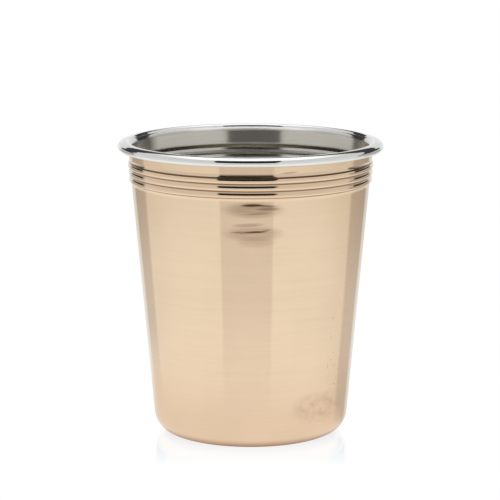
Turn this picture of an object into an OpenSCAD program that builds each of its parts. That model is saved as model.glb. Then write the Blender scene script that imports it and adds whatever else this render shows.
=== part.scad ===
// Julep cup: a spun copper cup over a stainless steel liner, whose rolled rim closes over the copper's edge.
// Units are millimetres. +Z is up, and the origin is the middle of the foot, on the surface it stands on.
// Both cups are thin sheets that follow one outline, each at its own depth under the copper's outer face.

/* [Cup] */
// Height from the foot to the top of the rolled rim
cup_h = 98; // [85:0.5:115]
// Diameter over the rolled rim
rim_d = 88; // [82:0.5:98]
// Diameter at which the tapered wall would reach the surface that the cup stands on
base_d = 63.6; // [56:0.2:70]

/* [Sheets] */
// Thickness of the copper sheet
copper_t = 0.4; // [0.3:0.05:0.6]
// Thickness of the steel sheet
steel_t = 0.45; // [0.35:0.05:0.6]
// Clearance that lets the liner slide into the copper cup
nest_gap = 0.04; // [0.02:0.01:0.1]

/* [Foot] */
// Outer radius of the rounded foot corner
foot_r = 6.6; // [4:0.2:9]
// Width of the flat ring that the cup rests on
ring_w = 2.4; // [1.5:0.1:4]
// Height of the raised middle of the base above the resting ring
base_lift = 1.2; // [0.6:0.1:1.8]
// Radius of the copper where the base turns down to the resting ring
lift_r = 1; // [0.6:0.1:2]
// Radius of the steel where the base turns out again onto the resting ring
ring_r = 1; // [0.6:0.1:2]

/* [Beads] */
// Number of raised beads round the neck
bead_n = 3; // [1:1:5]
// Distance from the top of the rim down to the middle of the top bead
bead_drop = 8; // [7.2:0.1:12]
// Distance from one bead to the next
bead_pitch = 2.35; // [1.8:0.05:5]
// How far a bead stands out from the wall
bead_h = 0.62; // [0.4:0.02:0.9]
// Radius of the steel inside a bead, left by the beading roller
bead_in_r = 0.31; // [0.2:0.01:0.6]
// Outer radius of the valley between two beads
valley_r = 0.65; // [0.4:0.05:1]
// Outer radius where the band of beads runs out into the wall
runout_r = 1.7; // [1:0.1:2.5]

/* [Rolled rim] */
// How far the rolled rim stands out from the wall
rim_reach = 3.2; // [2.6:0.1:4.2]
// Height of the rolled rim
rim_h = 3.05; // [2.8:0.05:3.6]
// Radius inside the rolled edge of the steel
curl_in_r = 0.7; // [0.4:0.05:0.8]
// Radius of the copper's edge, turned out under the crest of the rim
hem_r = 0.5; // [0.3:0.05:0.8]
// Angle by which the rolled edge climbs back under the rim
tuck = 12; // [5:1:20]
// Clearance between the rolled edge and the copper neck
edge_gap = 0.12; // [0.05:0.01:0.3]

/* [Hidden] */
$fn = 180;
// Largest angle between two points of a rounded stretch
arc_step = 7;

// Depths under the copper's outer face
copper_back = copper_t;
steel_back = copper_t + nest_gap;
wall_t = steel_back + steel_t;

// The tapered wall: a straight line from the foot's corner to the rim
base_r = base_d / 2;
neck_r = rim_d / 2 - rim_reach;
taper = atan2(neck_r - base_r, cup_h);

function along(angle) = [cos(angle), sin(angle)];

// The point that lies up the wall's outer line by a distance, and out from it by another
function on_wall(up, out) = [base_r, 0] + up * along(90 - taper) + out * along(-taper);

// How far a point lies out from the wall's outer line
function reach_of(point) = (point - [base_r, 0]) * along(-taper);

// An arc of points from one angle to another, ends included
function arc(centre, radius, from, to) =
    let (count = ceil(abs(to - from) / arc_step))
    [for (i = [0:count]) centre + radius * along(from + (to - from) * i / count)];

// A stretch that bulges outwards: deeper faces have the smaller radius.
// The angles are those of the outer face's own direction.
function bulge(centre, radius, from, to, depth) = arc(centre, radius - depth, from, to);

// A stretch that is hollow outwards: deeper faces have the larger radius
function hollow(centre, radius, from, to, depth) = arc(centre, radius + depth, from + 180, to + 180);

// Base and foot
foot_mid = [base_r - foot_r * (1 - sin(taper)) / cos(taper), foot_r];
ring_out_r = ring_r + wall_t;
lift_turn = acos(1 - base_lift / (lift_r + ring_out_r));
ring_mid = [foot_mid.x - ring_w, ring_out_r];
lift_mid = [ring_mid.x - (lift_r + ring_out_r) * sin(lift_turn), base_lift - lift_r];

function base_path(depth) = concat(
    [[0, base_lift + depth]],
    hollow(lift_mid, lift_r, -90, -90 - lift_turn, depth),
    bulge(ring_mid, ring_out_r, -90 - lift_turn, -90, depth),
    bulge(foot_mid, foot_r, -90, -taper, depth));

// Beads: each is an arc, with a hollow arc on both sides
bead_r = bead_in_r + wall_t;
runout_turn = acos(1 - bead_h / (bead_r + runout_r));
runout_l = (bead_r + runout_r) * sin(runout_turn);
valley_full_turn = acos(1 - bead_h / (bead_r + valley_r));
valley_turn = min(valley_full_turn, asin(min(1, bead_pitch / 2 / (bead_r + valley_r))));
valley_l = (bead_r + valley_r) * sin(valley_turn);
valley_out = bead_h - bead_r + (bead_r + valley_r) * cos(valley_turn);
top_bead_up = (cup_h - bead_drop) / cos(taper);

function bead_up(i) = top_bead_up - (bead_n - 1 - i) * bead_pitch;
function is_lowest(i) = i == 0;
function is_highest(i) = i == bead_n - 1;

// The hollow stretch below a bead: a run-out under the lowest one, half a valley under the others
function below_bead(i, depth) = is_lowest(i)
    ? hollow(on_wall(bead_up(i) - runout_l, runout_r), runout_r, -taper, -taper - runout_turn, depth)
    : hollow(on_wall(bead_up(i) - valley_l, valley_out), valley_r, -taper, -taper - valley_turn, depth);

function above_bead(i, depth) = is_highest(i)
    ? hollow(on_wall(bead_up(i) + runout_l, runout_r), runout_r, runout_turn - taper, -taper, depth)
    : hollow(on_wall(bead_up(i) + valley_l, valley_out), valley_r, valley_turn - taper, -taper, depth);

function bead_crest(i, depth) = bulge(
    on_wall(bead_up(i), bead_h - bead_r), bead_r,
    -taper - (is_lowest(i) ? runout_turn : valley_turn),
    -taper + (is_highest(i) ? runout_turn : valley_turn), depth);

function bead_path(depth) = [
    for (i = [0:bead_n - 1])
        each concat(below_bead(i, depth), bead_crest(i, depth), above_bead(i, depth))];

// Rolled rim: the wall turns out over a crest, droops to the outer curl and tucks back to the neck
crest_r = hem_r + wall_t;
crest_mid = on_wall((cup_h - crest_r + hem_r * sin(taper)) / cos(taper), hem_r);
curl_r = curl_in_r + steel_t;
curl_mid = [rim_d / 2 - curl_r, cup_h - rim_h + curl_r];
curl_way = curl_mid - crest_mid;
droop = atan2(curl_way.y, curl_way.x) - asin((crest_r - curl_r) / norm(curl_way));
tuck_turn = -270 - tuck;
lip_start = curl_mid - curl_r * along(tuck_turn);
lip_l = (edge_gap - reach_of(lip_start)) / (along(tuck_turn + 90) * along(-taper));

function crest_path(depth) = hollow(crest_mid, hem_r, -taper, droop - 90, depth);

// The steel's outer curl and the lip behind it. Its own inner face is steel_back deep.
function curl_path(depth) =
    let (curl = hollow(curl_mid, curl_in_r, droop - 90, tuck_turn, depth - steel_back))
    concat(curl, [curl[len(curl) - 1] + lip_l * along(tuck_turn + 90)]);

// Base, wall, beads and crest of the rim at one depth, from the axis outwards
function cup_path(depth) = concat(base_path(depth), bead_path(depth), crest_path(depth));

function backwards(points) = [for (i = [len(points) - 1:-1:0]) points[i]];

module spun(one_face, other_face) {
    rotate_extrude() polygon(concat(one_face, backwards(other_face)));
}

// Outer cup. Its edge turns out under the crest and ends inside the rolled rim.
module copper_shell() {
    color([0.86, 0.71, 0.56]) spun(cup_path(0), cup_path(copper_back));
}

// Inner cup. Its edge is rolled out, down and back to the neck, over the copper's edge.
module steel_liner() {
    color([0.78, 0.78, 0.76]) spun(
        concat(cup_path(steel_back), curl_path(steel_back)),
        concat(cup_path(wall_t), curl_path(wall_t)));
}

copper_shell();
steel_liner();
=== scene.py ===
"""Julep cup: a copper cup over a steel liner with a rolled rim, and the plain studio it is seen in."""

import math

import bmesh
import bpy
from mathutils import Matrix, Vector


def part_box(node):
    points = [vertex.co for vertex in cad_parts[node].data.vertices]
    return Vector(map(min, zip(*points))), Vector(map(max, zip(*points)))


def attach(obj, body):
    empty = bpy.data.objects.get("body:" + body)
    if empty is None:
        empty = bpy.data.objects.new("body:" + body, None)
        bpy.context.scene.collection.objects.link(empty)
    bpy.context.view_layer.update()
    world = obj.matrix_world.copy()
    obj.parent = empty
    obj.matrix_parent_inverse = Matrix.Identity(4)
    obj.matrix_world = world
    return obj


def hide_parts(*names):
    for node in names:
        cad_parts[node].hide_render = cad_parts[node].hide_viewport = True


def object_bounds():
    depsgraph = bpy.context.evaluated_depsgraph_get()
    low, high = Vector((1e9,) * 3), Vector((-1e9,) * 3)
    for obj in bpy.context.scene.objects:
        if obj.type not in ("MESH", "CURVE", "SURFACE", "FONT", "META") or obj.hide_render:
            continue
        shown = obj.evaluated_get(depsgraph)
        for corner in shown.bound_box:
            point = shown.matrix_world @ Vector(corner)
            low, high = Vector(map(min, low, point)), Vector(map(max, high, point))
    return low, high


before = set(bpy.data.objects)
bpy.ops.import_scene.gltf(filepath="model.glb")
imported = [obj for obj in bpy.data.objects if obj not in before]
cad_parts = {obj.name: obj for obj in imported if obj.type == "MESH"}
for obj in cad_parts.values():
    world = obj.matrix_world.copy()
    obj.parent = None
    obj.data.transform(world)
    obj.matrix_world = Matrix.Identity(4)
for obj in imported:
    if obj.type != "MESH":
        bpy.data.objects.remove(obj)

bl_info = {
    "name": "Julep cup",
    "version": (1, 0, 0),
    "blender": (4, 5, 0),
    "location": "3D View > Sidebar > Julep cup",
    "description": "A lined copper julep cup with a beaded neck and a rolled rim, and its studio",
    "category": "Add Mesh",
}

CAD_LOW, CAD_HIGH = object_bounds()
RIM_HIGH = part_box("steel_liner")[1]
MM = 0.001
WHITE = (1.0, 1.0, 1.0)

# Steps of a full turn, and the largest bend between two points of an outline
AROUND = 200
ARC_STEP = math.radians(5.5)
# How close to the ends of a straight stretch its extra points lie, which keep its shading straight
GUARD = 0.35 * MM
# Points of a spun sheet that lie closer than this are made one
MERGE = 0.0005 * MM

# The painted shade in the groove under a bead, brown like tarnished copper: how far under the bead's middle
# it lies, as a share of half a bead, then its own half width, and its strength. The one under the lowest
# bead is thinner.
GROOVE = (1.05, 0.55 * MM, 0.95)
LOWEST_GROOVE = (0.8, 0.32 * MM, 0.8)
# Where the crease over the top bead lies, and where the neck has its full flare, as shares of the run-out
CREASE_UP = 0.7
FLARE_UP = 0.8
# The height over which the neck flares
FLARE_H = 1 * MM
# How far over the top bead the liner starts to widen more, and how far under the rim's top its edge starts
MOUTH_OVER_BEAD = 1.3 * MM
EDGE_UNDER_TOP = 2.1 * MM


def length_prop(name, description, default, low=0.0, high=0.3):
    """A size in metres that the sidebar shows."""
    return bpy.props.FloatProperty(
        name=name, description=description, default=default, min=low, max=high,
        precision=5, subtype="DISTANCE", unit="LENGTH")


def angle_prop(name, description, degrees):
    """An angle that the sidebar shows."""
    return bpy.props.FloatProperty(
        name=name, description=description, default=math.radians(degrees),
        subtype="ANGLE", unit="ROTATION")


def colour_prop(name, description, default):
    """A colour that the sidebar shows, in linear values."""
    return bpy.props.FloatVectorProperty(
        name=name, description=description, default=default, size=3, min=0.0, max=1.0,
        subtype="COLOR")


def share_prop(name, description, default):
    """A number from 0 to 1 that the sidebar shows."""
    return bpy.props.FloatProperty(
        name=name, description=description, default=default, min=0.0, max=1.0, subtype="FACTOR")


class CupSizes(bpy.types.PropertyGroup):
    """The cup's own sizes: the wall, the sheets, the foot, the beads and the rolled rim."""

    height: length_prop("Height", "From the foot to the top of the rolled rim", CAD_HIGH.z)
    rim_d: length_prop("Rim diameter", "Over the rolled rim", 2 * RIM_HIGH.x)
    base_d: length_prop("Base diameter", "Where the tapered wall would reach the table", 63.6 * MM)
    copper_t: length_prop("Copper sheet", "Thickness of the copper sheet", 0.4 * MM)
    steel_t: length_prop("Steel sheet", "Thickness of the steel sheet", 0.45 * MM)
    nest_gap: length_prop("Nesting gap", "Clearance between the copper and the liner", 0.04 * MM)
    foot_r: length_prop("Foot corner", "Outer radius of the rounded foot corner", 6.6 * MM)
    ring_w: length_prop("Resting ring", "Width of the flat ring that the cup rests on", 2.4 * MM)
    base_lift: length_prop("Base lift", "Height of the raised middle of the base", 1.2 * MM)
    lift_r: length_prop("Lift radius", "Copper radius where the base turns down to the ring", 1 * MM)
    ring_r: length_prop("Ring radius", "Steel radius where the base turns out to the ring", 1 * MM)
    bead_n: bpy.props.IntProperty(
        name="Beads", description="Number of raised beads round the neck", default=3, min=1, max=5)
    bead_drop: length_prop("Bead drop", "From the rim's top to the middle of the top bead", 8 * MM)
    bead_pitch: length_prop("Bead pitch", "From one bead to the next", 2.35 * MM)
    bead_h: length_prop("Bead height", "How far a bead stands out from the wall", 0.62 * MM)
    bead_in_r: length_prop("Bead radius", "Radius of the steel inside a bead", 0.31 * MM)
    valley_r: length_prop("Valley radius", "Outer radius between two beads", 0.65 * MM)
    runout_r: length_prop("Run-out radius", "Where the beads run out into the wall", 1.7 * MM)
    rim_reach: length_prop("Rim reach", "How far the rolled rim stands out from the wall", 3.2 * MM)
    rim_h: length_prop("Rim height", "Height of the rolled rim", 3.05 * MM)
    curl_in_r: length_prop("Curl radius", "Radius inside the rolled edge of the steel", 0.85 * MM)
    hem_r: length_prop("Hem radius", "Radius of the copper's edge under the crest", 0.5 * MM)
    dome_r: length_prop("Dome radius", "Radius of the rim's top between crest and curl", 4.5 * MM)
    tuck: angle_prop("Tuck", "Angle by which the rolled edge climbs back under the rim", 12)
    edge_gap: length_prop("Edge gap", "Clearance between the rolled edge and the neck", 0.12 * MM)


class CupFinish(bpy.types.PropertyGroup):
    """Colours and polish of the two metals."""

    copper: colour_prop("Copper", "Polished copper", (0.868, 0.652, 0.46))
    # Brown of the tarnished patch, specks and streak, also used for the painted shade in the grooves and on
    # the front
    tarnish_and_shade: colour_prop("Tarnish", "Browned copper in grooves and specks", (0.22, 0.11, 0.05))
    # Dark colour of the small marks on the front and of the line along the crease
    mark: colour_prop("Marks", "Polishing marks on the front", (0.1, 0.045, 0.02))
    copper_roughness: share_prop("Copper roughness", "Polish of the copper", 0.085)
    copper_brushing: share_prop("Copper brushing", "How much more the copper blurs up and down", 0.7)
    grain_depth: length_prop("Grain depth", "Depth of the turned grain", 0.0012 * MM)
    neck_depth: length_prop("Neck flare", "How far the neck widens above the top bead", 0.318 * MM)
    mouth_depth: length_prop("Mouth flare", "How far the liner widens towards the rim", 0.95 * MM)
    steel: colour_prop("Steel", "Brushed steel inside the cup", (0.64, 0.61, 0.54))
    rim: colour_prop("Rim", "Polished steel of the rolled rim", (0.8, 0.8, 0.785))
    # Painted highlight: lighter steel on the ridges between the beads
    ridge_highlight: colour_prop("Ridges", "Steel that is rubbed bright between the beads", (0.95, 0.95, 0.93))
    steel_roughness: share_prop("Steel roughness", "Polish of the liner's inside", 0.23)
    rim_roughness: share_prop("Rim roughness", "Polish of the rolled rim", 0.07)
    steel_brushing: share_prop("Steel brushing", "How much more the steel blurs up and down", 0.94)


class StudioSettings(bpy.types.PropertyGroup):
    """Where the camera stands, and how the studio round the cup is lit."""

    camera_way: length_prop("Camera distance", "From the camera to the point it looks at", 0.822, 0.1, 5)
    camera_pitch: angle_prop("Camera pitch", "How far the camera looks down", 10.391)
    look_height: length_prop("Look height", "Height of the point the camera looks at", 60.83 * MM)
    look_side: length_prop("Look side", "How far the view is moved sideways", -0.2 * MM, -0.1, 0.1)
    lens: bpy.props.FloatProperty(
        name="Lens", description="Focal length for a 36 mm wide picture", default=177.03,
        min=10, max=400, subtype="DISTANCE_CAMERA", unit="CAMERA")
    gap_left: angle_prop("Gap, left", "How far from the front the left light panel starts", 26)
    gap_right: angle_prop("Gap, right", "How far from the front the right light panel starts", 17.8)
    gap_lean: angle_prop("Gap lean", "How far the panels keep away from straight above", 13.1)
    gap_high: angle_prop("Gap, high edge", "Where the dark gap ends, from the front over the top", 84)
    gap_low: angle_prop("Gap, low edge", "How high over the table the dark gap starts", 14.8)
    panel_right: angle_prop("Right panel end", "How far round to the back the right panel reaches", 120)
    panel_left: angle_prop("Left panel end", "How far round to the back the left panel reaches", 127)
    panel_level: share_prop("Panel level", "How bright the panels are against the floor", 0.72)
    back_start: angle_prop("Backdrop", "Where the white backdrop starts, from the front", 152)
    back_top: angle_prop("Backdrop top", "How high over the table the white backdrop ends", 19.5)
    ceiling_start: angle_prop("Ceiling light", "How high behind the ceiling light starts", 38)


class Value:
    """A socket that is used in a sum: each operator adds a Math node."""

    def __init__(self, nodes, socket):
        self.nodes, self.socket = nodes, socket

    def math(self, operation, *others):
        """A Math node on this value and then the others."""
        return self.nodes.node(
            "ShaderNodeMath", {"operation": operation}, dict(enumerate((self, *others))))

    def __add__(self, other):
        return self.math("ADD", other)

    __radd__ = __add__

    def __sub__(self, other):
        return self.math("SUBTRACT", other)

    def __rsub__(self, other):
        return self.nodes.node("ShaderNodeMath", {"operation": "SUBTRACT"}, {0: other, 1: self})

    def __mul__(self, other):
        return self.math("MULTIPLY", other)

    __rmul__ = __mul__

    def __truediv__(self, other):
        return self.math("DIVIDE", other)

    def __abs__(self):
        return self.math("ABSOLUTE")

    def ramp(self, low, high, smooth=True):
        """0 below low, 1 above high, and smooth or straight between. With high under low it falls."""
        falls = high < low
        mask = self.nodes.node(
            "ShaderNodeMapRange", {"interpolation_type": "SMOOTHSTEP" if smooth else "LINEAR"},
            {"Value": self, "From Min": min(low, high), "From Max": max(low, high)})
        return 1 - mask if falls else mask


class Nodes:
    """Adds nodes to one material's or world's tree."""

    def __init__(self, owner):
        owner.use_nodes = True
        self.tree = owner.node_tree
        self.tree.nodes.clear()

    def node(self, kind, settings=None, values=None, output=0):
        """Adds a node: its settings first, then its sockets' values or links. Gives the outputs named."""
        made = self.tree.nodes.new(kind)
        for name, setting in (settings or {}).items():
            setattr(made, name, setting)
        for key, value in (values or {}).items():
            socket = self.find(made.inputs, key)
            if isinstance(value, Value):
                self.tree.links.new(value.socket, socket)
            else:
                socket.default_value = value
        if isinstance(output, tuple):
            return [Value(self, self.find(made.outputs, each)) for each in output]
        return Value(self, self.find(made.outputs, output)) if made.outputs else None

    @staticmethod
    def find(sockets, key):
        """A socket by its place, its identifier or its name."""
        if isinstance(key, int):
            return sockets[key]
        return next((each for each in sockets if each.identifier == key), None) or sockets[key]

    def coordinates(self, output):
        """One output of the texture coordinates, and its x, y and z."""
        place = self.node("ShaderNodeTexCoord", None, None, output)
        return place, *self.node("ShaderNodeSeparateXYZ", None, {0: place}, ("X", "Y", "Z"))

    def mix(self, factor, one, other, blend="MIX"):
        """A colour between two."""
        one, other = (c if isinstance(c, Value) else (*c, 1) for c in (one, other))
        return self.node(
            "ShaderNodeMix", {"data_type": "RGBA", "blend_type": blend},
            {"Factor_Float": factor, "A_Color": one, "B_Color": other}, "Result_Color")

    def camera_ray(self):
        """1 where the camera itself looks, and 0 for what the metals mirror."""
        return self.node("ShaderNodeLightPath", None, None, "Is Camera Ray")


class Outline:
    """Half the section of a spun sheet, drawn in the XZ plane from the axis outwards.

    It is one face of the sheet, at a depth under the copper's outer face. The cup's inside lies
    on the left of the way it is drawn, so a bend to the left shrinks with depth and one to the
    right grows.
    """

    def __init__(self, height, depth):
        self.mesh = bmesh.new()
        self.depth = depth
        self.heading = 0.0
        self.tip = self.mesh.verts.new((0, 0, height + depth))

    def ahead(self, length):
        """A straight stretch."""
        guard = min(GUARD, length / 4)
        for step in (guard, length - 2 * guard, guard):
            made = bmesh.ops.extrude_vert_indiv(self.mesh, verts=[self.tip])
            self.tip = made["verts"][0]
            way = Vector((math.cos(self.heading), 0, math.sin(self.heading)))
            bmesh.ops.translate(self.mesh, verts=[self.tip], vec=way * step)

    def bend(self, radius, angle):
        """An arc: to the left with an angle above zero, and to the right with one below."""
        side = math.copysign(1, angle)
        own_radius = radius - side * self.depth
        left = Vector((-math.sin(self.heading), 0, math.cos(self.heading)))
        made = bmesh.ops.spin(
            self.mesh, geom=[self.tip], cent=self.tip.co + left * side * own_radius,
            axis=(0, -1, 0), angle=angle, steps=max(2, math.ceil(abs(angle) / ARC_STEP)),
            use_duplicate=False)
        self.tip = next(e for e in made["geom_last"] if isinstance(e, bmesh.types.BMVert))
        self.heading += angle

    def spun(self, name, thickness, inwards=False):
        """Turns the outline once round the axis, and gives it its thickness on its outer or inner side."""
        mesh = self.mesh
        bmesh.ops.spin(
            mesh, geom=mesh.verts[:] + mesh.edges[:], cent=(0, 0, 0), axis=(0, 0, 1),
            angle=2 * math.pi, steps=AROUND, use_merge=True, use_duplicate=False)
        bmesh.ops.remove_doubles(mesh, verts=mesh.verts[:], dist=MERGE)
        bmesh.ops.recalc_face_normals(mesh, faces=mesh.faces[:])
        if inwards:
            bmesh.ops.reverse_faces(mesh, faces=mesh.faces[:])
        bmesh.ops.solidify(mesh, geom=mesh.faces[:], thickness=thickness)
        for face in mesh.faces:
            face.smooth = True
        data = bpy.data.meshes.new(name)
        mesh.to_mesh(data)
        mesh.free()
        piece = bpy.data.objects.new(name, data)
        bpy.context.scene.collection.objects.link(piece)
        return piece


class Section:
    """The cup's section, worked out from its sizes: the places that its outlines share."""

    def __init__(self, sizes):
        self.sizes = sizes
        self.steel_back = sizes.copper_t + sizes.nest_gap
        self.wall_t = self.steel_back + sizes.steel_t
        self.base_r = sizes.base_d / 2
        self.taper = math.atan2(sizes.rim_d / 2 - sizes.rim_reach - self.base_r, sizes.height)
        self.place_foot()
        self.place_beads()
        self.place_rim()

    def place_foot(self):
        """The raised base, the resting ring and the foot's corner."""
        sizes = self.sizes
        self.foot_up = sizes.foot_r * (1 - math.sin(self.taper)) / math.cos(self.taper)
        self.ring_out_r = sizes.ring_r + self.wall_t
        both_r = sizes.lift_r + self.ring_out_r
        self.lift_turn = math.acos(1 - sizes.base_lift / both_r)
        self.lift_x = self.base_r - self.foot_up - sizes.ring_w - both_r * math.sin(self.lift_turn)

    def place_beads(self):
        """The beads, the valleys between them and the run-outs into the wall."""
        sizes = self.sizes
        self.bead_r = sizes.bead_in_r + self.wall_t
        runout = self.bead_r + sizes.runout_r
        valley = self.bead_r + sizes.valley_r
        self.runout_turn = math.acos(1 - sizes.bead_h / runout)
        self.runout_l = runout * math.sin(self.runout_turn)
        self.valley_turn = min(
            math.acos(1 - sizes.bead_h / valley), math.asin(min(1, sizes.bead_pitch / 2 / valley)))
        self.top_bead_up = (sizes.height - sizes.bead_drop) / math.cos(self.taper)
        self.low_bead_up = self.top_bead_up - (sizes.bead_n - 1) * sizes.bead_pitch

    def place_rim(self):
        """The crest, the domed top, the outer curl and the lip behind it."""
        sizes = self.sizes
        crest_r = sizes.hem_r + self.wall_t
        curl_r = sizes.curl_in_r + sizes.steel_t
        self.crest_up = (sizes.height - crest_r + sizes.hem_r * math.sin(self.taper)) / math.cos(self.taper)
        crest = self.on_wall(self.crest_up, sizes.hem_r)
        curl = Vector((sizes.rim_d / 2 - curl_r, 0, sizes.height - sizes.rim_h + curl_r))
        apart = (curl - crest).length
        slope = math.atan2(curl.z - crest.z, curl.x - crest.x)

        # The copper's edge ends at the heading of a straight line laid over crest and curl
        self.droop = slope - math.asin((crest_r - curl_r) / apart)

        # The steel's top is one arc over both, whose circle holds theirs and touches them
        one, other = sizes.dome_r - crest_r, sizes.dome_r - curl_r
        start_turn = math.acos((one ** 2 + apart ** 2 - other ** 2) / (2 * one * apart))
        self.dome_start = slope + math.pi / 2 - start_turn
        self.dome_turn = math.acos((one ** 2 + other ** 2 - apart ** 2) / (2 * one * other))

        # The lip climbs back at the tuck's angle until the edge gap is left before the neck
        self.tuck_heading = -math.pi - sizes.tuck
        way = Vector((math.cos(self.tuck_heading), 0, math.sin(self.tuck_heading)))
        out = Vector((math.cos(self.taper), 0, -math.sin(self.taper)))
        lip = curl + curl_r * Vector((way.z, 0, -way.x))
        self.lip_l = (sizes.edge_gap - (lip - Vector((self.base_r, 0, 0))).dot(out)) / way.dot(out)

    def on_wall(self, up, out):
        """The point up the wall's outer line by a distance, and out from it by another."""
        sin, cos = math.sin(self.taper), math.cos(self.taper)
        return Vector((self.base_r + up * sin + out * cos, 0, up * cos - out * sin))

    def crest(self, bead):
        """The height of a bead's middle, counted from the lowest."""
        return self.on_wall(self.low_bead_up + bead * self.sizes.bead_pitch, self.sizes.bead_h).z

    def top_crest(self):
        """The height of the top bead's middle."""
        return self.crest(self.sizes.bead_n - 1)

    def grooves(self):
        """Height, half width and strength of the brown painted shade in the groove under each bead."""
        half_bead = self.bead_r * math.sin(self.valley_turn)
        rows = []
        for bead in range(self.sizes.bead_n):
            under, half_width, share = GROOVE if bead else LOWEST_GROOVE
            rows.append((self.crest(bead) - half_bead * under, half_width, share))
        return rows

    def crease(self):
        """The height of the crease over the top bead."""
        return self.top_crest() + self.runout_l * CREASE_UP

    def neck_flare(self):
        """The two heights between which the neck flares, the upper one first."""
        foot = self.top_crest() + self.runout_l * FLARE_UP
        return foot + FLARE_H, foot

    def mouth(self):
        """The heights from which the liner widens more than the wall, and at which its edge starts."""
        return self.top_crest() + MOUTH_OVER_BEAD, self.sizes.height - EDGE_UNDER_TOP

    def ridges(self):
        """The heights of the ridges that stand inwards between the beads."""
        half = self.sizes.bead_pitch / 2
        return [self.crest(bead) - half for bead in range(1, self.sizes.bead_n)]

    def cup(self, depth, end):
        """Base, foot, wall, beads and the crest of the rim at one depth, up to the heading at its end."""
        sizes = self.sizes
        line = Outline(sizes.base_lift, depth)
        line.ahead(self.lift_x)
        line.bend(sizes.lift_r, -self.lift_turn)
        line.bend(self.ring_out_r, self.lift_turn)
        line.ahead(sizes.ring_w)
        line.bend(sizes.foot_r, math.pi / 2 - self.taper)
        line.ahead(self.low_bead_up - self.runout_l - self.foot_up)
        line.bend(sizes.runout_r, -self.runout_turn)
        turn = self.runout_turn
        for _ in range(1, sizes.bead_n):
            line.bend(self.bead_r, turn + self.valley_turn)
            line.bend(sizes.valley_r, -2 * self.valley_turn)
            turn = self.valley_turn
        line.bend(self.bead_r, turn + self.runout_turn)
        line.bend(sizes.runout_r, -self.runout_turn)
        line.ahead(self.crest_up - self.top_bead_up - self.runout_l)
        line.bend(sizes.hem_r, end - line.heading)
        return line


class Metal(Nodes):
    """The nodes of one of the cup's metals, whose pattern keeps to its place on the cup."""

    # The share of a turn that lays the brushing round the cup
    brushed_around = 0.25
    # The middle of a noise, from which it swings to both sides
    middle = 0.5

    def __init__(self, name, finish, section):
        self.material = bpy.data.materials.new(name)
        super().__init__(self.material)
        self.finish, self.section = finish, section
        self.place, self.x, self.y, self.z = self.coordinates("Object")

    def noise(self, across, up, detail=2.0, rough=0.5):
        """Noise from 0 to 1, with so many cells to the metre across the cup and up it."""
        cells = self.node(
            "ShaderNodeMapping", None, {"Vector": self.place, "Scale": (across, across, up)})
        return self.node(
            "ShaderNodeTexNoise", None,
            {"Vector": cells, "Scale": 1.0, "Detail": detail, "Roughness": rough}, "Fac")

    def swing(self, noise, strength):
        """A noise moved down so that it swings about zero, times a strength."""
        return (noise - self.middle) * strength

    def lightened(self, colour, tone):
        """A colour that is softly lightened by a tone. A tone under zero leaves it as it is."""
        return self.mix(tone, colour, WHITE, "SOFT_LIGHT")

    def surface(self, colour, roughness, brushing, height):
        """Makes a metal of a colour, a roughness and a relief, brushed round the cup."""
        bump = self.node("ShaderNodeBump", None, {"Strength": 1.0, "Distance": 1.0, "Height": height})
        shader = self.node(
            "ShaderNodeBsdfPrincipled", None,
            {"Base Color": colour, "Metallic": 1.0, "Roughness": roughness, "Anisotropic": brushing,
             "Anisotropic Rotation": self.brushed_around, "Normal": bump})
        self.node("ShaderNodeOutputMaterial", None, {"Surface": shader})


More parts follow.
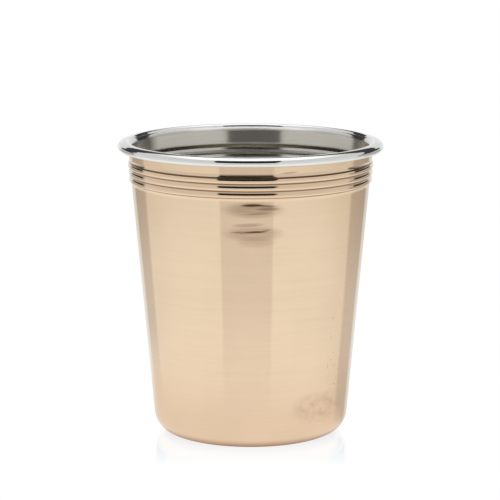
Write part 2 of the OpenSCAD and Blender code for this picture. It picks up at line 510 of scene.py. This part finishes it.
class SpunCopper(Metal):
    """Polished spun copper: fine turned grain, brown painted shade in the grooves, dark marks and painted
    shade on the front, and a little tarnishing.
    """

    # How dull the duller clouds are against the rest
    cloud_level = 0.97
    # The span of each noise that shows: of the clouds, the mottle and the specks
    cloud_span, mottle_span, speck_span = (0.3, 0.7), (0.3, 0.8), (0.64, 0.73)
    # How strong the brown painted shade in a groove is where the long grain is lowest, and how much more
    # where it is highest
    brown_least, brown_more = 0.7, 0.6
    # The same for the dark marks and the painted shade on the front, against the fine grain
    mark_least, mark_more = 0.4, 1.2
    # How strongly the fine and the long grain show, and the even tone under both
    grain_tone, long_tone, even_tone = 0.22, 0.16, 0.06
    # Half the width of the crease over the top bead, and of its full dark
    crease_half, crease_core = 0.3 * MM, 0.06 * MM
    # The ledge of that crease: how far under it, half its height, and how deep it is
    ledge_under, ledge_half, ledge_depth = 0.25 * MM, 0.08 * MM, 0.16 * MM
    # Smears, which draw the marks, the painted shade and the patch, are on the front half of the cup alone,
    # and fade in over this much of its depth
    front_fade = 8 * MM
    # The share of a mark's half size at which it has its full strength, squared
    mark_core = 0.05

    def __init__(self, finish, section):
        super().__init__("spun_copper", finish, section)
        self.front = self.y.ramp(0, -self.front_fade)
        self.grain = self.noise(across=90, up=3000, detail=3, rough=0.6)
        self.long_grain = self.noise(across=10, up=650)
        colour = self.tarnished(self.marked_and_shaded(self.groove_shade(self.polished())))
        self.surface(colour, finish.copper_roughness, finish.copper_brushing, self.relief())

    def polished(self):
        """Bare copper with faint clouds and a grain that catches the light."""
        clouds = self.noise(across=55, up=40, detail=3, rough=0.55)
        dull = tuple(c * self.cloud_level for c in self.finish.copper)
        colour = self.mix(clouds.ramp(*self.cloud_span), dull, self.finish.copper)
        grain = self.swing(self.grain, self.grain_tone) + self.swing(self.long_grain, self.long_tone)
        return self.lightened(colour, grain + self.even_tone)

    def groove_shade(self, colour):
        """Painted shade in the grooves under the beads, brown like tarnished copper, and a dark line along
        the crease over the top bead.
        """
        patchy = self.brown_least + self.long_grain * self.brown_more
        # Painted shade: each groove under a bead is darkened to brown
        for height, half_width, share in self.section.grooves():
            groove = abs(self.z - height).ramp(half_width, 0)
            colour = self.mix(groove * patchy * share, colour, self.finish.tarnish_and_shade)
        crease = abs(self.z - self.section.crease()).ramp(self.crease_half, self.crease_core)
        return self.mix(crease * patchy, colour, self.finish.mark)

    def smear(self, side, height, half_length, half_height, tilt=0.0):
        """A soft lens-shaped mark on the front of the wall: 1 in its middle and 0 outside it."""
        along = (self.x - side) / half_length
        up = (self.z - height - (self.x - side) * tilt) / half_height
        return (along * along + up * up).ramp(1, self.mark_core) * self.front

    def marked_and_shaded(self, colour):
        """Dark marks and painted shade on the front, broken up by the grain."""
        tarnish_and_shade, dark = self.finish.tarnish_and_shade, self.finish.mark
        # Each mark: place sideways, place upwards, half length, half height, tilt, strength, colour
        # Painted shade: the wide soft brown smears across the middle of the front, 70 to 84 mm up, darken
        # the top of the dark band that the wall mirrors. The small dark ones and the streak at the neck are
        # marks.
        marks = (
            (0.8 * MM, 80.8 * MM, 11.5 * MM, 3.2 * MM, 0.0, 0.45, tarnish_and_shade),
            (5.6 * MM, 81.1 * MM, 4.6 * MM, 0.75 * MM, 0.0, 0.5, tarnish_and_shade),
            (2.6 * MM, 79.7 * MM, 5.0 * MM, 0.5 * MM, 0.06, 0.35, tarnish_and_shade),
            (0.4 * MM, 82.4 * MM, 4.4 * MM, 0.62 * MM, 0.02, 0.9, dark),
            (4.4 * MM, 82.15 * MM, 4.6 * MM, 0.42 * MM, -0.07, 0.6, dark),
            (-0.8 * MM, 75.9 * MM, 6.5 * MM, 0.75 * MM, 0.05, 0.36, tarnish_and_shade),
            (1.5 * MM, 73.65 * MM, 4.2 * MM, 0.42 * MM, 0.02, 1.0, dark),
            (-2.6 * MM, 73.5 * MM, 4.6 * MM, 0.5 * MM, 0.0, 0.6, tarnish_and_shade),
            (4.8 * MM, 74.1 * MM, 1.9 * MM, 0.4 * MM, 0.2, 0.45, dark),
            (0.8 * MM, 73.0 * MM, 11.5 * MM, 3.0 * MM, 0.0, 0.34, tarnish_and_shade),
            (1.8 * MM, 70.3 * MM, 7.5 * MM, 2.2 * MM, 0.0, 0.22, tarnish_and_shade),
            (12.3 * MM, 92.7 * MM, 3.4 * MM, 0.3 * MM, 0.06, 0.5, tarnish_and_shade),
        )
        broken = self.mark_least + self.grain * self.mark_more
        for *lens, share, stain in marks:
            colour = self.mix(self.smear(*lens) * broken * share, colour, stain)
        return colour

    def tarnished(self, colour):
        """A warmer tone towards the foot, and low on the right a mottled patch under a trail of specks."""
        tarnish_and_shade = self.finish.tarnish_and_shade
        warm_from, warm_full, warm_share = 24 * MM, 2 * MM, 0.06
        colour = self.mix(self.z.ramp(warm_from, warm_full) * warm_share, colour, tarnish_and_shade)

        even_share, mottled_share = 0.05, 0.26
        mottle = self.noise(across=260, up=420, detail=3, rough=0.65).ramp(*self.mottle_span)
        patch = self.smear(side=22 * MM, height=13 * MM, half_length=10 * MM, half_height=6.5 * MM)
        colour = self.mix(patch * (mottle * mottled_share + even_share), colour, tarnish_and_shade)

        speck_share = 0.4
        specks = self.noise(across=1100, up=1100, detail=1).ramp(*self.speck_span)
        trail = self.smear(side=27 * MM, height=26 * MM, half_length=2.4 * MM, half_height=24 * MM)
        return self.mix(trail * specks * speck_share, colour, tarnish_and_shade)

    def relief(self):
        """The depth of the grain, the flare of the neck and the ledge of the crease."""
        depth = self.finish.grain_depth
        grain = self.swing(self.grain, depth) + self.swing(self.long_grain, 2 * depth)
        flare = self.z.ramp(*self.section.neck_flare(), smooth=False) * self.finish.neck_depth
        ledge = self.section.crease() - self.ledge_under
        step = self.z.ramp(ledge + self.ledge_half, ledge - self.ledge_half, smooth=False)
        return grain + flare + step * self.ledge_depth


class LinerSteel(Metal):
    """Brushed steel inside the cup, polished on the rolled rim."""

    # The inside ends over this distance, outwards from the crest's middle
    inside_fade = 0.3 * MM
    # Its brushed part ends this far under the rim's top
    brushed_under = 0.9 * MM
    # Half the width of a ridge's painted highlight and rougher steel, and of its brightest part
    rub_half, rub_core = 0.7 * MM, 0.2 * MM
    # How much rougher the steel is on the ridges
    rubbed_roughness = 0.5
    # How strongly the grain and the clouds show, and the even tone under both
    grain_tone, cloud_tone, even_tone = 0.5, 0.3, 0.1
    # Where the liner turns over into the rim: over this height it widens by that much
    turn_h = 1.3 * MM
    turn_depth = 1.25 * MM

    def __init__(self, finish, section):
        super().__init__("liner_steel", finish, section)
        self.widens_from, self.edge = section.mouth()
        crest_x = section.on_wall(section.crest_up, section.sizes.hem_r).x
        far = (self.x * self.x + self.y * self.y).math("SQRT")
        self.inside = far.ramp(crest_x + self.inside_fade, crest_x)
        self.grain = self.noise(across=40, up=2200, detail=3, rough=0.6)
        self.surface(*self.polish(), finish.steel_brushing, self.relief())

    def polish(self):
        """Colour and roughness: a brushed inside with a painted highlight and rougher steel on the ridges,
        and a polished rim.
        """
        finish = self.finish
        brushed_top = self.section.sizes.height - self.brushed_under
        on_rim = 1 - self.inside * self.z.ramp(brushed_top, self.edge)
        colour = self.mix(on_rim, finish.steel, finish.rim)
        roughness = finish.steel_roughness + on_rim * (finish.rim_roughness - finish.steel_roughness)
        for height in self.section.ridges():
            # Painted highlight: each ridge is lighter in colour, and rougher
            painted = abs(self.z - height).ramp(self.rub_half, self.rub_core) * self.inside
            colour = self.mix(painted, colour, finish.ridge_highlight)
            roughness = roughness + painted * self.rubbed_roughness
        clouds = self.noise(across=50, up=120)
        tone = self.swing(self.grain, self.grain_tone) + self.swing(clouds, self.cloud_tone)
        return self.lightened(colour, tone + self.even_tone), roughness

    def relief(self):
        """The liner widens towards its edge, which turns over sharply into the rim."""
        wider = self.z.ramp(self.edge, self.widens_from, smooth=False) * self.finish.mouth_depth
        turn = self.z.ramp(self.edge + self.turn_h, self.edge, smooth=False) * self.turn_depth
        return (wider + turn) * self.inside + self.grain * self.finish.grain_depth


class StudioLight(Nodes):
    """The world: light panels with a dark gap at the front, and dark, a backdrop and a ceiling behind."""

    # Half the width of a panel's soft edge, and of the softer edges behind
    soft = 0.012
    softer = 4 * soft
    # How far over its lower edge the dark gap has its full depth
    fade_in = 3 * soft
    # How much light the dark gap and the dark sides keep back
    gap_dark, side_dark = 0.97, 0.93
    # Under this height, down to half of it, the dark sides start nearer to the front: on the right and
    # on the left by so many times the angle under it
    slant_top = math.radians(17)
    slant_right, slant_left = 1.8, 0.95
    # The heights between which the dark sides fade in over the table
    dark_from, dark_full = math.radians(-2), math.radians(9)
    # The ceiling light: half its width for each unit of height, and its soft edge
    ceiling_spread, ceiling_edge = 0.62, 0.3
    # Where the ceiling light fades in on the way to the back
    ceiling_from, ceiling_full = -0.1, 0.2
    # How much brighter than the panels the ceiling light, the backdrop and the panels' own low end are
    ceiling_glow, backdrop_glow, low_glow = 0.62, 0.06, 0.12
    # How high that low end reaches
    low_glow_top = math.radians(14)

    def __init__(self, studio):
        self.world = bpy.data.worlds.new("studio")
        super().__init__(self.world)
        self.studio = studio
        _, self.x, self.y, self.z = self.coordinates("Generated")
        self.front = self.y * -1
        self.rise = self.z.math("ARCSINE")
        self.around = self.x.math("ARCTAN2", self.front)
        backdrop = self.backdrop()
        dark = self.dark_sides() * (1 - backdrop)
        level = (studio.panel_level + self.rise.ramp(self.low_glow_top, 0) * self.low_glow
                 + self.ceiling() * self.ceiling_glow + backdrop * self.backdrop_glow)
        light = level * (1 - self.gap() * self.gap_dark) * (1 - dark * self.side_dark)
        strength = light.math("MAXIMUM", self.camera_ray())
        surface = self.node("ShaderNodeBackground", None, {"Color": (*WHITE, 1), "Strength": strength})
        self.node("ShaderNodeOutputWorld", None, {"Surface": surface})

    def beyond(self, distance):
        """1 on the side where a distance is above zero, with a soft edge."""
        return distance.ramp(-self.soft, self.soft)

    def gap(self):
        """The dark gap between the two front panels."""
        studio, front = self.studio, self.front
        lean = self.z * math.tan(studio.gap_lean)
        right = self.beyond(front * math.tan(studio.gap_right) + lean - self.x)
        left = self.beyond(front * math.tan(studio.gap_left) + lean + self.x)
        under_top = self.beyond(front * math.sin(studio.gap_high) - self.z * math.cos(studio.gap_high))
        over_table = self.rise.ramp(studio.gap_low - self.soft, studio.gap_low + self.fade_in)
        return right * left * under_top * over_table

    def dark_sides(self):
        """Behind, the side panels end in the dark, which reaches up to the ceiling light."""
        studio, wide = self.studio, self.softer
        low = self.rise.math("MAXIMUM", self.slant_top / 2).math("MINIMUM", self.slant_top) - self.slant_top
        right = (self.around - low * self.slant_right).ramp(
            studio.panel_right - wide, studio.panel_right + wide)
        left = (self.around + low * self.slant_left).ramp(
            -studio.panel_left + wide, -studio.panel_left - wide)
        under_ceiling = self.beyond(self.y * math.tan(studio.ceiling_start) - self.z)
        return (right + left) * under_ceiling * self.rise.ramp(self.dark_from, self.dark_full)

    def backdrop(self):
        """The white backdrop behind."""
        start, top = self.studio.back_start, self.studio.back_top
        return (abs(self.around).ramp(start - self.softer, start + self.softer)
                * self.rise.ramp(top + self.soft, top - self.soft))

    def ceiling(self):
        """The ceiling light, which is wider the higher it is seen."""
        across = self.z * self.ceiling_spread - abs(self.x)
        return across.ramp(0, self.ceiling_edge) * self.y.ramp(self.ceiling_from, self.ceiling_full)


class WhiteTable(Nodes):
    """The floor: a glossy white table for the metals, and plain white for the camera."""

    # How bright the table is, and how much dimmer it is far out and close to the foot
    level, far_dim, foot_dim = 1.03, 0.17, 0.1
    far_from, far_full = 180 * MM, 430 * MM
    foot_from, foot_full = 130 * MM, 45 * MM
    # How much dimmer it is towards the back, on the right and on the left
    right_dim, right_from, right_full = 0.1, math.radians(50), math.radians(122)
    left_dim, left_from, left_full = 0.05, math.radians(-70), math.radians(-125)
    # Its tone where it is dim, with the levels at which that is full and gone
    dim_tone, dim_full, dim_gone = (1.0, 0.94, 0.88), 0.84, 1
    # The brown of its painted contact shadow under the foot, with the radii at which that is full and gone
    contact_tone, contact_full, contact_gone = (0.36, 0.18, 0.08), 26 * MM, 33 * MM
    # The gloss: its index, its strength and its tone
    gloss_ior, gloss_strength, gloss_tone = 1.55, 1.25, (0.85, 1.0, 1.0)
    # Near the cup the table is dull, but not at the back on the right: where that ends and is full
    dull_gone_r, dull_full_r = 170 * MM, 30 * MM
    dull_gone_turn, dull_full_turn = math.radians(105), math.radians(70)
    # The cup's faint mirror image for the camera: its share of each colour, and where it fades out
    mirrored = (0.36, 0.28, 0.225)
    fade_y, full_y = 50 * MM, 11 * MM
    fade_x, full_x = 80 * MM, 45 * MM
    # How bright the backdrop is that the floor mirrors beside the cup, against white
    mirrored_white = 0.8

    def __init__(self):
        self.material = bpy.data.materials.new("white_floor")
        super().__init__(self.material)
        _, self.x, self.y, _ = self.coordinates("Object")
        self.far = (self.x * self.x + self.y * self.y).math("SQRT")
        self.around = self.x.math("ARCTAN2", self.y * -1)
        surface = self.node(
            "ShaderNodeMixShader", None,
            {0: self.camera_ray(), 1: self.glossy_table(), 2: self.plain_white()})
        self.node("ShaderNodeOutputMaterial", None, {"Surface": surface})

    def mirror(self, colour):
        """A perfect mirror of a colour."""
        return self.node("ShaderNodeBsdfGlossy", None, {"Roughness": 0.0, "Color": colour})

    def glossy_table(self):
        """What the metals see: a glossy white table, dimmer and warmer far out and close to the foot, with
        a painted brown contact shadow under the foot.
        """
        dim = self.level - self.far.ramp(self.far_from, self.far_full) * self.far_dim
        dim = dim - self.far.ramp(self.foot_from, self.foot_full) * self.foot_dim
        dim = dim - self.around.ramp(self.right_from, self.right_full) * self.right_dim
        dim = dim - self.around.ramp(self.left_from, self.left_full) * self.left_dim
        tone = self.mix(dim.ramp(self.dim_full, self.dim_gone), self.dim_tone, WHITE)
        # Painted contact shadow: brown under the foot
        clear = self.far.ramp(self.contact_full, self.contact_gone)
        tone = self.mix(clear, self.contact_tone, tone)
        plain = self.node("ShaderNodeEmission", None, {"Color": tone, "Strength": dim})
        gloss = self.node("ShaderNodeFresnel", None, {"IOR": self.gloss_ior}) * self.gloss_strength
        dull = (self.far.ramp(self.dull_gone_r, self.dull_full_r)
                * self.around.ramp(self.dull_gone_turn, self.dull_full_turn))
        return self.node(
            "ShaderNodeMixShader", None,
            {0: gloss * (1 - dull), 1: plain, 2: self.mirror((*self.gloss_tone, 1))})

    def plain_white(self):
        """What the camera sees: plain white, with the cup's faint mirror image."""
        fade = (abs(self.y).ramp(self.fade_y, self.full_y, smooth=False)
                * abs(self.x).ramp(self.fade_x, self.full_x))
        image = self.mirror(self.mix(fade, (0, 0, 0), self.mirrored))
        kept = tuple(1 - c * self.mirrored_white for c in self.mirrored)
        base = self.node("ShaderNodeEmission", None, {"Color": self.mix(fade, WHITE, kept)})
        return self.node("ShaderNodeAddShader", None, {0: base, 1: image})


def finished(piece, metal, node):
    """A finished piece gets its metal, rides on the cup's one body and stands for its CAD node."""
    piece.data.materials.append(metal.material)
    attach(piece, "root")
    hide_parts(node)


class CopperCup(bpy.types.Operator):
    """Spins the outer copper cup with its foot, wall, beaded neck and hemmed edge"""

    bl_idname = "julep.copper_cup"
    bl_label = "Copper cup"

    def execute(self, context):
        scene = context.scene
        sizes = scene.julep_sizes
        section = Section(sizes)
        line = section.cup(0, section.droop)
        cup = line.spun("copper_cup", sizes.copper_t, inwards=True)
        finished(cup, SpunCopper(scene.julep_finish, section), "copper_shell")
        return {"FINISHED"}


class SteelLiner(bpy.types.Operator):
    """Spins the steel liner, whose edge rolls out and down over the copper's edge"""

    bl_idname = "julep.steel_cup"
    bl_label = "Steel liner"

    def execute(self, context):
        scene = context.scene
        sizes = scene.julep_sizes
        section = Section(sizes)
        line = section.cup(section.wall_t, section.dome_start)
        line.bend(sizes.dome_r - section.wall_t, -section.dome_turn)
        line.bend(sizes.curl_in_r - section.steel_back, section.tuck_heading - line.heading)
        line.ahead(section.lip_l)
        cup = line.spun("steel_cup", sizes.steel_t)
        finished(cup, LinerSteel(scene.julep_finish, section), "steel_liner")
        return {"FINISHED"}


class Studio(bpy.types.Operator):
    """Sets the camera, a white floor and a studio of light panels with a dark gap at the front"""

    bl_idname = "julep.studio"
    bl_label = "Studio and camera"

    # The picture's width in millimetres, and the nearest and furthest that the camera sees
    picture_w = 36
    nearest, furthest = 0.01, 50
    # The round floor
    floor_r, floor_sides = 3, 64

    def execute(self, context):
        scene = context.scene
        scene.view_settings.view_transform = "Standard"
        scene.world = StudioLight(scene.julep_studio).world
        self.camera(scene, scene.julep_studio)
        self.floor(scene)
        return {"FINISHED"}

    def camera(self, scene, studio):
        """The camera looks down at the cup from the front."""
        camera = bpy.data.objects.new("camera", bpy.data.cameras.new("camera"))
        scene.collection.objects.link(camera)
        pitch = studio.camera_pitch
        back = Vector((0, -math.cos(pitch), math.sin(pitch)))
        camera.location = Vector((studio.look_side, 0, studio.look_height)) + back * studio.camera_way
        camera.rotation_euler = (math.pi / 2 - pitch, 0, 0)
        camera.data.lens = studio.lens
        camera.data.sensor_width = self.picture_w
        camera.data.clip_start, camera.data.clip_end = self.nearest, self.furthest
        scene.camera = camera

    def floor(self, scene):
        """A round white floor at the height of the cup's foot."""
        mesh = bmesh.new()
        bmesh.ops.create_circle(mesh, cap_ends=True, radius=self.floor_r, segments=self.floor_sides)
        data = bpy.data.meshes.new("floor")
        mesh.to_mesh(data)
        mesh.free()
        data.materials.append(WhiteTable().material)
        floor = bpy.data.objects.new("floor", data)
        scene.collection.objects.link(floor)


class Sidebar(bpy.types.Panel):
    """Lists the cup's pieces, its studio and their sizes"""

    bl_idname = "JULEP_PT_sidebar"
    bl_label = "Julep cup"
    bl_space_type = "VIEW_3D"
    bl_region_type = "UI"
    bl_category = "Julep cup"

    def draw(self, context):
        layout = self.layout
        for operator in OPERATORS:
            layout.operator(operator.bl_idname, text=operator.bl_label)
        for group in GROUPS:
            box = layout.box()
            box.label(text=group.removeprefix("julep_").capitalize())
            settings = getattr(context.scene, group)
            for name in settings.__annotations__:
                box.prop(settings, name)


GROUPS = {"julep_sizes": CupSizes, "julep_finish": CupFinish, "julep_studio": StudioSettings}
OPERATORS = (CopperCup, SteelLiner, Studio)


def register():
    for cls in (*GROUPS.values(), *OPERATORS, Sidebar):
        bpy.utils.register_class(cls)
    for name, group in GROUPS.items():
        setattr(bpy.types.Scene, name, bpy.props.PointerProperty(type=group))


def unregister():
    for name in GROUPS:
        delattr(bpy.types.Scene, name)
    for cls in reversed((*GROUPS.values(), *OPERATORS, Sidebar)):
        bpy.utils.unregister_class(cls)


def main():
    register()
    bpy.ops.julep.copper_cup()
    bpy.ops.julep.steel_cup()
    bpy.ops.julep.studio()


if __name__ == "__main__":
    main()
